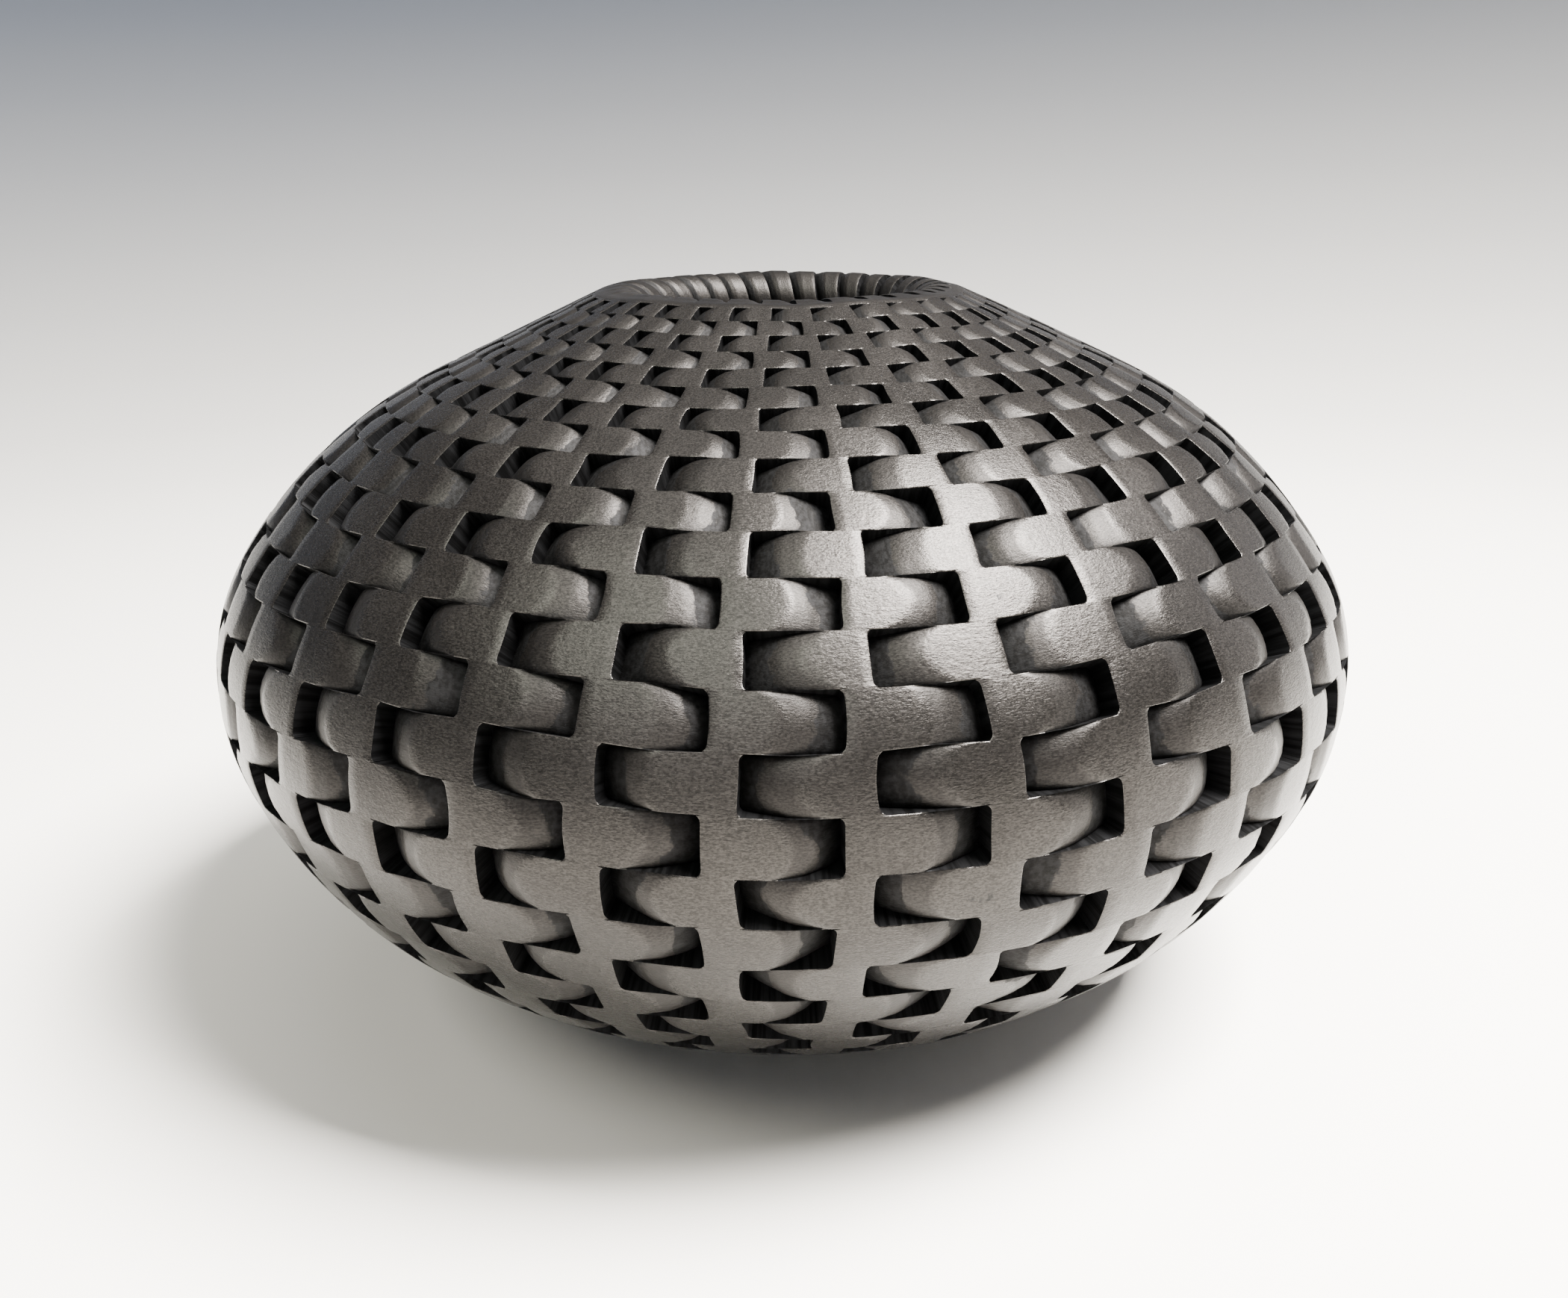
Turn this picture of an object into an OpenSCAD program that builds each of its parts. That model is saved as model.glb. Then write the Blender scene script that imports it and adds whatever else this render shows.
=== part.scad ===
// Round black clay pot with a carved basket-weave surface.
// The wall is built up in clay coils, one above the other, each luted to the next on a stepped
// joint, and its outer face is carved with rows of sloped pockets that alternate left and right.
// Origin: middle of the foot, on the surface the pot stands on. +Z up. Millimetres.

/* [Profile] */
// Radius of the mouth where the straight neck slope starts
mouth_radius = 38; // [34:1:44]
// Downward slope of the neck, degrees from level
neck_slope = 24.6; // [20:0.2:28]
// Length of the straight neck slope
neck_run = 41; // [36:1:46]
// Radius of the shoulder curve, seen from the side
shoulder_bend = 105; // [95:1:115]
// Slope at which the shoulder turns into the belly, degrees
shoulder_slope = 56.4; // [52:0.2:60]
// Radius of the belly curve, seen from the side
belly_bend = 47; // [42:1:52]
// Slope at which the belly turns into the bowl, degrees
belly_slope = 113.2; // [108:0.2:118]
// Radius of the bowl curve under the belly, seen from the side
bowl_bend = 91.5; // [86:0.5:97]
// Radius of the rolled lip, seen from the side
lip_roll = 6.5; // [5.5:0.1:7]
// Height of the straight throat under the rolled lip
throat = 4; // [3:0.5:5]
// Thickness of the wall
wall = 8; // [7:0.5:9]

/* [Foot] */
// Outer radius of the foot ring
foot_radius = 50; // [46:1:54]
// Height of the foot ring
foot_height = 3; // [2:0.5:5]
// Width of the foot ring's resting face
foot_width = 7; // [5:0.5:10]
// Radius of the flat floor slab, measured on the inside of the pot
slab_radius = 44; // [38:1:45]

/* [Weave] */
// Pockets in one row
columns = 34; // [28:1:40]
// Carved rows from the lip to the last one above the foot
rows = 27; // [24:1:27]
// Distance along the wall from the neck's top to the first row
first_row = 3.6; // [2:0.2:5]
// Row height as a share of the radius plus the row offset
row_share = 0.0656; // [0.062:0.0002:0.068]
// Length added to the radius in the row rule
row_offset = 33.4; // [30:0.2:37]
// Pocket depth as a share of the column pitch
pocket_share = 0.19; // [0.1:0.01:0.2]
// Length of a pocket's slope as a share of the column pitch
slope_share = 0.46; // [0.38:0.01:0.5]

/* [Joints] */
// Distance along the wall that each joint's bevel runs down towards the inside
joint_lap = 2; // [1:0.5:3]
// Depth to which each joint is square to the wall, as a share of its thickness
joint_step = 0.78; // [0.7:0.01:0.85]

/* [Hidden] */

// Carved rows above the top of each coil, counted from the lip
neck_top = 0;
upper_shoulder_top = 5;
lower_shoulder_top = 8;
upper_belly_top = 11;
lower_belly_top = 15;
upper_bowl_top = 18;
lower_bowl_top = 22;

// The outer profile is a straight slope and three tangent arcs. A place on it is its distance
// from the top of the neck, and its slope turns from neck_slope at the top towards 180 at the foot.
deg = PI / 180;
shoulder_from = neck_run;
belly_from = shoulder_from + shoulder_bend * (shoulder_slope - neck_slope) * deg;
bowl_from = belly_from + belly_bend * (belly_slope - shoulder_slope) * deg;

// The point reached by turning from slope a to slope b on a bend that starts at p
function turned(p, bend, a, b) = [p[0] + bend * (sin(b) - sin(a)), p[1] + bend * (cos(b) - cos(a))];

neck_start = [mouth_radius, 0];
shoulder_start = neck_start + neck_run * [cos(neck_slope), -sin(neck_slope)];
belly_start = turned(shoulder_start, shoulder_bend, neck_slope, shoulder_slope);
bowl_start = turned(belly_start, belly_bend, shoulder_slope, belly_slope);

// Slope of the bowl where it reaches the foot ring, and the height of the pot's parts above it
foot_slope = 180 - asin(sin(belly_slope) + (foot_radius - bowl_start[0]) / bowl_bend);
bowl_end = turned(bowl_start, bowl_bend, belly_slope, foot_slope);
profile_end = bowl_from + bowl_bend * (foot_slope - belly_slope) * deg;
lift = foot_height - bowl_end[1];

function slope_at(s) =
    s < shoulder_from ? neck_slope
    : s < belly_from ? neck_slope + (s - shoulder_from) / shoulder_bend / deg
    : s < bowl_from ? shoulder_slope + (s - belly_from) / belly_bend / deg
    : belly_slope + (s - bowl_from) / bowl_bend / deg;

function outer_at(s) =
    [0, lift] + (
        s < shoulder_from ? neck_start + s * [cos(neck_slope), -sin(neck_slope)]
        : s < belly_from ? turned(shoulder_start, shoulder_bend, neck_slope, slope_at(s))
        : s < bowl_from ? turned(belly_start, belly_bend, shoulder_slope, slope_at(s))
        : turned(bowl_start, bowl_bend, belly_slope, slope_at(s)));

// The point at a depth under the outer face, square to it; the inner face is at the wall's depth
function sunk_at(s, depth) = outer_at(s) - depth * [sin(slope_at(s)), cos(slope_at(s))];
function inner_at(s) = sunk_at(s, wall);

// Each joint runs square into the wall past the deepest pocket, then down a bevel to the inside
function joint_corner(s) = sunk_at(s, joint_step * wall);

// Distance along the profile at which each row starts: rows grow with the radius
function row_step(s) = row_share * (outer_at(s)[0] + row_offset);
function next_row(s) = s + row_step(s + row_step(s) / 2);
row_at = [for (j = 0, s = first_row; j <= rows; j = j + 1, s = next_row(s)) s];

// Places round the pot are counted in column pitches. Each column leans a little on its way down,
// its figure, from one pocket's deep end to the other's, narrows towards the lip and the foot, and
// the spacing wanders round the pot, as it does when it is stepped out by hand.
pitch = 360 / columns;
function row_place(row) = (row - 12) / 12;
function lean(row) = 0.2 - 0.125 * row_place(row) - 0.055 * pow(row_place(row), 2);
function figure(row) = 0.794 - 0.054 * row_place(row) - 0.146 * pow(row_place(row), 2);
function wander(x) = 0.126 * sin(3 * pitch * x - 59) - 0.05 * sin(5 * pitch * x + 11.5);
function turn_at(x, row) = pitch * (x + wander(x) + lean(row)) - 90;

// The lip rolls over from the neck's slope into the throat, where its slope is straight up
throat_slope = -90;
lip_centre = outer_at(0) - lip_roll * [sin(neck_slope), cos(neck_slope)];
function lip_at(slope) = lip_centre + lip_roll * [sin(slope), cos(slope)];

// Floor of a pocket as places [share of its run, share of its depth]: level at the deep end, then
// two ramps, the last of which comes out just above the face
floor_places = [[0, 1], [0.15, 1], [0.6, 0.45]];
floor_exit = 0.25;
// How far a pocket's cutter reaches above the face, and the land left between two rows
cutter_reach = 1;
row_land = 0.6;

black = [0.13, 0.125, 0.12];
round_steps = 180;

// Cross-section of one coil. Its outer corners lie on the row lines, so each row is one
// straight band.
function wall_outline(first, last) = concat(
    [for (j = [first : last]) outer_at(row_at[j])],
    [joint_corner(row_at[last])],
    [for (j = [last : -1 : first]) inner_at(row_at[j] + joint_lap)],
    [joint_corner(row_at[first])]);

// One pocket, deep and square at y = 0, its floor rising to the surface towards +y
module pocket(height, deep, run) {
    linear_extrude(height = height, center = true)
        polygon(concat(
            [[cutter_reach, 0]],
            [for (place = floor_places) [-deep * place[1], run * place[0]]],
            [[floor_exit, run], [cutter_reach, run]]));
}

// A ring of pockets cut square to the surface at one place; hand is 1 for deep on the left
module pocket_ring(place, slope, height, row, hand) {
    pitch_length = 2 * PI * place[0] / columns;
    for (k = [0 : columns - 1])
        rotate([0, 0, turn_at(k - hand * figure(row) / 2, row)])
            translate([place[0], 0, place[1]])
                rotate([0, slope - 90, 0])
                    mirror([0, (1 - hand) / 2, 0])
                        pocket(height, pocket_share * pitch_length, slope_share * pitch_length);
}

// The pockets of one carved row: odd rows are deep on the left, even rows on the right
module carved_row(row) {
    top = outer_at(row_at[row - 1]);
    bottom = outer_at(row_at[row]);
    side = bottom - top;
    hand = (row % 2 == 1) ? 1 : -1;
    pocket_ring((top + bottom) / 2, atan2(-side[1], side[0]), norm(side) - row_land, row, hand);
}

// One coil of the wall with its carved rows
module carved_coil(first, last) {
    difference() {
        rotate_extrude($fn = round_steps)
            polygon(wall_outline(first, last));
        for (row = [first + 1 : last])
            carved_row(row);
    }
}

module foot_ring() {
    slant = 1.5;
    color(black)
        rotate_extrude($fn = round_steps)
            polygon([
                [foot_radius - slant - foot_width, 0],
                [foot_radius - slant, 0],
                [foot_radius, foot_height],
                [foot_radius - 2 * slant - foot_width, foot_height]
            ]);
}

// The floor slab: its bevelled edge carries the lowest coil
module floor_slab() {
    color(black)
        rotate_extrude($fn = round_steps)
            polygon([
                [0, foot_height],
                [foot_radius, foot_height],
                [slab_radius, inner_at(profile_end)[1]],
                [0, inner_at(profile_end)[1]]
            ]);
}

// The lowest coil, carved as far down as the last row, then plain to the foot
module lower_bowl_coil() {
    plain_steps = 4;
    plain_run = profile_end - row_at[rows];
    color(black)
        difference() {
            rotate_extrude($fn = round_steps)
                polygon(concat(
                    [for (j = [lower_bowl_top : rows]) outer_at(row_at[j])],
                    [for (i = [1 : plain_steps]) outer_at(row_at[rows] + plain_run * i / plain_steps)],
                    [[slab_radius, inner_at(profile_end)[1]]],
                    [for (i = [plain_steps : -1 : 1])
                        inner_at(row_at[rows] + joint_lap + (plain_run - joint_lap) * i / plain_steps)],
                    [for (j = [rows : -1 : lower_bowl_top]) inner_at(row_at[j] + joint_lap)],
                    [joint_corner(row_at[lower_bowl_top])]));
            for (row = [lower_bowl_top + 1 : rows])
                carved_row(row);
        }
}

module upper_bowl_coil() {
    color(black)
        carved_coil(upper_bowl_top, lower_bowl_top);
}

module lower_belly_coil() {
    color(black)
        carved_coil(lower_belly_top, upper_bowl_top);
}

module upper_belly_coil() {
    color(black)
        carved_coil(upper_belly_top, lower_belly_top);
}

module lower_shoulder_coil() {
    color(black)
        carved_coil(lower_shoulder_top, upper_belly_top);
}

module upper_shoulder_coil() {
    color(black)
        carved_coil(upper_shoulder_top, lower_shoulder_top);
}

module neck_coil() {
    color(black)
        carved_coil(neck_top, upper_shoulder_top);
}

// The rolled lip, fluted from inside its crown down into the throat
module lip_coil() {
    roll_steps = 8;
    roll_turn = neck_slope - throat_slope;
    flute_slopes = [-80, -45];
    color(black)
        difference() {
            rotate_extrude($fn = round_steps)
                polygon(concat(
                    [outer_at(row_at[neck_top])],
                    [for (i = [0 : roll_steps]) lip_at(neck_slope - roll_turn * i / roll_steps)],
                    [lip_at(throat_slope) - [0, throat]],
                    [inner_at(row_at[neck_top] + joint_lap)],
                    [joint_corner(row_at[neck_top])]));
            for (slope = flute_slopes)
                pocket_ring(lip_at(slope), slope, lip_roll, 0, -1);
        }
}

foot_ring();
floor_slab();
lower_bowl_coil();
upper_bowl_coil();
lower_belly_coil();
upper_belly_coil();
lower_shoulder_coil();
upper_shoulder_coil();
neck_coil();
lip_coil();
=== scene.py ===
import math

import bpy
import numpy as np
from bpy.props import FloatProperty, FloatVectorProperty, IntProperty, PointerProperty
from mathutils import Matrix, Vector


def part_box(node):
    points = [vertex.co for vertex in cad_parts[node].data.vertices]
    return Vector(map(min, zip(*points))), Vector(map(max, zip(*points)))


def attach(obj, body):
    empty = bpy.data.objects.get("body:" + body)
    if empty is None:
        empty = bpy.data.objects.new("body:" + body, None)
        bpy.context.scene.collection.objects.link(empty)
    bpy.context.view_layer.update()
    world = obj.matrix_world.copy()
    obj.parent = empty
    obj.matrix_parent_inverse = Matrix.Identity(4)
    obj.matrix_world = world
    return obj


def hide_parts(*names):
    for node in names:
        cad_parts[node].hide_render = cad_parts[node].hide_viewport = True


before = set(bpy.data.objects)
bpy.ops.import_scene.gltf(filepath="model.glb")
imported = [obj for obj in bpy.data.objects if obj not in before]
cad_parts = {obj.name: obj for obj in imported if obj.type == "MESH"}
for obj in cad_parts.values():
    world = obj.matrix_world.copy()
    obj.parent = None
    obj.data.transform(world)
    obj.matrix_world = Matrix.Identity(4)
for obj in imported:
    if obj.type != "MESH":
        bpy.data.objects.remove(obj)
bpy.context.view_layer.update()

bl_info = {
    "name": "Carved Basket-Weave Pot",
    "version": (1, 0, 0),
    "blender": (4, 5, 0),
    "location": "3D Viewport > Sidebar > Pot",
    "description": "Builds a black clay pot whose wall is carved in a basket weave, on a pale floor",
    "category": "Add Mesh",
}

BODY = "root"
MM = 0.001


def box_width(node):
    """Width along X of a CAD node's box."""
    low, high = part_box(node)
    return high[0] - low[0]


def box_height(node):
    """Height along Z of a CAD node's box."""
    low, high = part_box(node)
    return high[2] - low[2]


# ---------------------------------------------------------------------------------------------
# Settings
# ---------------------------------------------------------------------------------------------

class PotProfileSettings(bpy.types.PropertyGroup):
    """Side view of the pot: a straight slope and three tangent arcs, with a rolled lip."""
    mouth_radius: FloatProperty(
        name="Mouth radius", description="Radius at which the straight neck slope starts",
        default=38 * MM, min=0.02, unit="LENGTH")
    neck_slope: FloatProperty(
        name="Neck slope", description="Downward slope of the neck, from level",
        default=math.radians(24.6), subtype="ANGLE")
    neck_run: FloatProperty(
        name="Neck run", description="Length of the straight neck slope",
        default=41 * MM, min=0.01, unit="LENGTH")
    shoulder_bend: FloatProperty(
        name="Shoulder bend", description="Radius of the shoulder curve, seen from the side",
        default=105 * MM, min=0.05, unit="LENGTH")
    shoulder_slope: FloatProperty(
        name="Shoulder slope", description="Slope at which the shoulder turns into the belly",
        default=math.radians(56.4), subtype="ANGLE")
    belly_bend: FloatProperty(
        name="Belly bend", description="Radius of the belly curve, seen from the side",
        default=47 * MM, min=0.02, unit="LENGTH")
    belly_slope: FloatProperty(
        name="Belly slope", description="Slope at which the belly turns into the bowl",
        default=math.radians(113.2), subtype="ANGLE")
    bowl_bend: FloatProperty(
        name="Bowl bend", description="Radius of the curve under the belly, seen from the side",
        default=91.5 * MM, min=0.05, unit="LENGTH")
    lip_roll: FloatProperty(
        name="Lip roll", description="Radius of the rolled lip, seen from the side",
        default=6.5 * MM, min=0.002, unit="LENGTH")
    throat: FloatProperty(
        name="Throat", description="Height of the straight throat under the lip",
        default=4 * MM, min=0.001, unit="LENGTH")
    wall: FloatProperty(
        name="Wall", description="Thickness of the clay wall",
        default=8 * MM, min=0.004, unit="LENGTH")
    slab_radius: FloatProperty(
        name="Slab radius", description="Radius of the flat floor, measured inside the pot",
        default=44 * MM, min=0.02, unit="LENGTH")
    foot_slant: FloatProperty(
        name="Foot slant", description="How far the sides of the foot ring lean in",
        default=1.5 * MM, min=0, unit="LENGTH")
    foot_width: FloatProperty(
        name="Foot width", description="Width of the foot ring's resting face",
        default=7 * MM, min=0.002, unit="LENGTH")


class PotWeaveSettings(bpy.types.PropertyGroup):
    """The carved pockets and how evenly the hand laid them out."""
    columns: IntProperty(
        name="Columns", description="Pockets in one row", default=34, min=12)
    rows: IntProperty(
        name="Rows", description="Carved rows from the lip to the last one above the foot",
        default=27, min=20)
    first_row: FloatProperty(
        name="First row", description="Distance down the wall to the first row",
        default=3.6 * MM, unit="LENGTH")
    row_share: FloatProperty(
        name="Row share", description="Row height as a share of the radius plus the row offset",
        default=0.0656, min=0.03)
    row_offset: FloatProperty(
        name="Row offset", description="Length added to the radius in the row rule",
        default=33.4 * MM, unit="LENGTH")
    joint_lap: FloatProperty(
        name="Joint lap", description="Distance that each clay joint's inner bevel runs down the wall",
        default=2 * MM, unit="LENGTH")
    joint_step: FloatProperty(
        name="Joint step", default=0.78, min=0.6, max=0.9,
        description="Depth to which a joint is square to the wall, in wall thicknesses")
    pocket_depth: FloatProperty(
        name="Pocket depth", description="Depth of a pocket's deep end, in column pitches",
        default=0.215, min=0.02, max=0.3)
    flute_depth: FloatProperty(
        name="Flute depth", description="Depth of the lip's flutes, in column pitches",
        default=0.29, min=0.02, max=0.35)
    pocket_run: FloatProperty(
        name="Pocket run", description="Length of a pocket's sloping floor, in column pitches",
        default=0.46, min=0.2, max=0.6)
    strand_crown: FloatProperty(
        name="Strand crown", default=0.26, min=0.0, max=0.5,
        description="How much shorter a strand's slope is in its middle than at its edges")
    corner_radius: FloatProperty(
        name="Corner radius", description="Rounding of a pocket's two deep corners, in pitches",
        default=0.055, min=0.0, max=0.1)
    edge_wear: FloatProperty(
        name="Edge wear", description="How far the cut edges are rubbed down",
        default=0.11 * MM, min=0, unit="LENGTH")
    hand_wander: FloatProperty(
        name="Hand wander", description="How far single cuts stray from the layout, in pitches",
        default=0.012, min=0, max=0.05)
    seed: IntProperty(name="Seed", description="Picks another set of stray cuts", default=11)


class PotFinishSettings(bpy.types.PropertyGroup):
    """Colours and polish of the clay, and of the studio around it."""
    burnish_color: FloatVectorProperty(
        name="Burnished clay", description="Colour of the polished outer face",
        subtype="COLOR", default=(0.0205, 0.0190, 0.0177), min=0, max=1)
    ramp_color: FloatVectorProperty(
        name="Pocket floor", description="Colour of the pocket floors where the tool polished them",
        subtype="COLOR", default=(0.0135, 0.0124, 0.0115), min=0, max=1)
    # Painted shade: this black fills the pockets' deep ends, cut walls and corners, partly unpolished
    # carbon and partly the shade that lies there
    carbon_and_shade_color: FloatVectorProperty(
        name="Carbon black", description="Colour of the clay in the bottom of the pockets",
        subtype="COLOR", default=(0.0040, 0.0041, 0.0044), min=0, max=1)
    # Partly painted highlight: rubbed edges take this paler colour for wear and for the highlight
    # along them; dust crumbs take it too
    wear_dust_and_highlight_color: FloatVectorProperty(
        name="Worn edge", description="Colour of rubbed edges and crumbs of dust",
        subtype="COLOR", default=(0.062, 0.059, 0.055), min=0, max=1)
    bare_color: FloatVectorProperty(
        name="Bare clay", description="Colour of the clay that was smoothed but not burnished",
        subtype="COLOR", default=(0.010, 0.0095, 0.009), min=0, max=1)
    floor_color: FloatVectorProperty(
        name="Studio floor", description="Colour of the studio sweep that the pot stands on",
        subtype="COLOR", default=(0.87, 0.855, 0.81), min=0, max=1)
    # Painted light falloff: the sweep fades to this darker, cooler colour away from the pot, partly a
    # graded backdrop and partly the light falling off
    backdrop_and_falloff_color: FloatVectorProperty(
        name="Studio distance", description="Colour of the sweep's rim and wall, far from the pot",
        subtype="COLOR", default=(0.075, 0.092, 0.125), min=0, max=1)
    room_color: FloatVectorProperty(
        name="Studio room", description="Colour of the soft light that the room gives",
        subtype="COLOR", default=(0.43, 0.43, 0.44), min=0, max=1)


def settings():
    """The three groups of settings of the current scene."""
    scene = bpy.context.scene
    return scene.pot_profile, scene.pot_weave, scene.pot_finish


# ---------------------------------------------------------------------------------------------
# The pot's side view
# ---------------------------------------------------------------------------------------------

FOOT_RADIUS = box_width("foot_ring") / 2
FOOT_HEIGHT = box_height("foot_ring")
THROAT_SLOPE = -math.pi / 2


class Profile:
    """Outer and inner outline of the wall as functions of the distance s down it.

    s is 0 at the top of the straight neck. Below it come the shoulder, belly and bowl arcs, each
    tangent to the last; above it, at s < 0, the lip rolls over and drops into the throat."""

    def __init__(self, p):
        self.p = p
        slopes = [p.neck_slope, p.shoulder_slope, p.belly_slope]
        bends = [p.shoulder_bend, p.belly_bend, p.bowl_bend]
        start = np.array([p.mouth_radius, 0.0])
        point = start + p.neck_run * np.array([math.cos(p.neck_slope), -math.sin(p.neck_slope)])
        self.arcs = []
        run = p.neck_run
        for index, bend in enumerate(bends):
            centre = point - bend * np.array([math.sin(slopes[index]), math.cos(slopes[index])])
            self.arcs.append((run, slopes[index], bend, centre))
            if index + 1 < len(slopes):
                turn = slopes[index + 1]
                point = centre + bend * np.array([math.sin(turn), math.cos(turn)])
                run += bend * (turn - slopes[index])
        run, slope, bend, centre = self.arcs[-1]
        foot_slope = math.pi - math.asin((FOOT_RADIUS - centre[0]) / bend)
        self.end = run + bend * (foot_slope - slope)
        lift = FOOT_HEIGHT - (centre[1] + bend * math.cos(foot_slope))
        self.start = start + np.array([0.0, lift])
        self.arcs = [(r, a, b, c + np.array([0.0, lift])) for r, a, b, c in self.arcs]
        self.lip_centre = self.start - p.lip_roll * np.array(
            [math.sin(p.neck_slope), math.cos(p.neck_slope)])
        self.lip_roll_run = p.lip_roll * (p.neck_slope - THROAT_SLOPE)
        self.lip_start = -self.lip_roll_run
        self.top = self.lip_start - p.throat

    def outer(self, s):
        """Radius, height and slope at distance s: on an arc the slope grows by s over its radius,
        and the point is the arc's centre plus its radius times (sin slope, cos slope)."""
        s = np.asarray(s, float)
        slope = np.full(s.shape, self.p.neck_slope)
        r = self.start[0] + s * math.cos(self.p.neck_slope)
        z = self.start[1] - s * math.sin(self.p.neck_slope)
        for run, first, bend, centre in self.arcs:
            here = s >= run
            turned = first + (s - run) / bend
            slope = np.where(here, turned, slope)
            r = np.where(here, centre[0] + bend * np.sin(turned), r)
            z = np.where(here, centre[1] + bend * np.cos(turned), z)
        rolled = np.maximum(self.p.neck_slope + s / self.p.lip_roll, THROAT_SLOPE)
        on_lip = s < 0
        slope = np.where(on_lip, rolled, slope)
        r = np.where(on_lip, self.lip_centre[0] + self.p.lip_roll * np.sin(rolled), r)
        z = np.where(on_lip, self.lip_centre[1] + self.p.lip_roll * np.cos(rolled), z)
        z = z - np.where(s < self.lip_start, self.lip_start - s, 0.0)
        return r, z, slope

    def sunk(self, s, depth):
        """Radius and height of the point that lies depth under the outer face, square to it."""
        r, z, slope = self.outer(s)
        return r - depth * np.sin(slope), z - depth * np.cos(slope)


def row_lines(profile, weave):
    """Distance down the wall of each row line: a row's height is a share of the radius at its
    middle plus an offset, so rows grow towards the belly and shrink again towards the foot."""
    def height(s):
        """Height of a row whose middle lies at s."""
        return weave.row_share * (float(profile.outer(s)[0]) + weave.row_offset)

    lines = [weave.first_row]
    for _ in range(weave.rows):
        s = lines[-1]
        lines.append(s + height(s + height(s) / 2))
    return np.array(lines)


# ---------------------------------------------------------------------------------------------
# The carving
# ---------------------------------------------------------------------------------------------

# Level, slope and bend of a column's drift sideways and of its figure's width, in pitches, and
# the waves round the pot by which the columns are spaced: how many, how far and their start
COLUMN_LEAN = (0.2, -0.125, -0.055)
COLUMN_FIGURE = (0.794, -0.054, -0.146)
COLUMN_WAVES = ((3, 0.126, math.radians(-59)), (5, -0.05, math.radians(11.5)))

ROW_WAVES = 5           # waves of a row line round the pot
ROW_WAVE_SIZE = 0.10    # their size at the belly, in row heights
ROW_WAVE_MIDDLE = 15    # row at which they are strongest
ROW_WAVE_SPREAD = 5     # rows over which they die out
END_KINK = 0.4          # how much of its kinks the first and the last row line keep

# Ridges between a pocket floor's knife facets: places along it and depths there, as shares
FACET_PLACES = (0.0, 0.28, 0.62, 1.0)
FACET_DEPTHS = (1.0, 0.58, 0.20, 0.0)

EDGE = 0.24 * MM        # width of the rubbed band along a cut edge
CUT = 0.12 * MM         # sideways run of a cut wall
FIGURE_STEPS = 17       # grid steps from one deep end of a column's figure to the other
PAINTED_SHADE_DEPTH = 1.2 * MM   # pocket depth from which painted shade lies in the angle under its sides
PAINTED_SHADE_REACH = 0.7 * MM   # how far that painted shade spreads over the pocket's floor
TILT_STRAY = 1.3        # how far a cut edge tilts, in hand wanders
DEPTH_STRAY = 0.07      # share by which one pocket's depth strays from the rule
RUN_STRAY = 0.08        # and the length of its floor
LINE_STRAY = 0.022      # kink of a row line at a column, in row heights
KNEE_STRAY = 0.06       # how far the facets' ridges stray along a floor, in floor lengths
KNEE_SKEW = 0.08        # how far the ridges lean across it
CROWN_RANGE = (0.3, 1.7)    # least and most crown of one strand, in strand crowns
CROWN_LEVEL = 0.35      # part of the crown taken off all over, which keeps the mean length
CUT_SLOPE = 1.2         # fall over run from which a face counts as cut, not rubbed
CUT_SLOPE_BAND = 1.5    # further fall over run at which it is wholly cut
CREASE = math.radians(38)   # angle from which an edge of the carving stays sharp
GRAIN_RADIUS = 100 * MM     # radius of the cylinder that the grain is laid round
WALL_RADIUS = 100 * MM      # rough radius at which the wall's steepness is measured
MOUTH_RADIUS = 40 * MM      # and the lip's
UNDERSIDE_GRAIN = -20 * MM  # where the lip's underside lies in the grain


def by_row(curve, row):
    """Value at a row of a curve given by its level, slope and bend: the level, plus the slope
    times the row's place, plus the bend times its square. Places count in dozens from row 12."""
    level, slope, bend = curve
    place = (row - 12) / 12
    return level + slope * place + bend * place ** 2


def wander(x, columns):
    """Uneven spacing of the columns: slow sine waves round the pot, in pitches."""
    turn = 2 * math.pi * x / columns
    return sum(size * np.sin(count * turn + start) for count, size, start in COLUMN_WAVES)


def turn_at(x, row, columns):
    """Angle round the pot of a place counted in column pitches."""
    return 2 * math.pi / columns * (x + wander(x, columns) + by_row(COLUMN_LEAN, row)) - math.pi / 2


def row_wave(x, columns, row):
    """Waviness of the row lines in row heights: a cosine from half a pitch on, with a bell curve
    down the rows that is highest at the belly."""
    turn = 2 * math.pi * (x - 0.5) / columns
    bell = np.exp(-((row - ROW_WAVE_MIDDLE) / ROW_WAVE_SPREAD) ** 2)
    return ROW_WAVE_SIZE * bell * np.cos(ROW_WAVES * turn)


def hand_of(row):
    """Which way a row's pockets face: 1 where their left ends are deep, -1 where their right."""
    return 1 if row % 2 else -1


def place_of(kinds, kind):
    """Place of the first grid line of a kind among a column's lines."""
    return np.flatnonzero(kinds == kind)[0]


def strand(t, knee=0.0):
    """Depth of a pocket's floor, from 1 at its deep end (t = 0) to 0 where it meets the face
    (t = 1): three knife facets, each flatter than the last, so the floor bulges outward. The knee
    moves the facets' two ridges along the floor."""
    bent = t + knee * np.sin(math.pi * t)
    return np.interp(bent, FACET_PLACES, FACET_DEPTHS)


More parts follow.
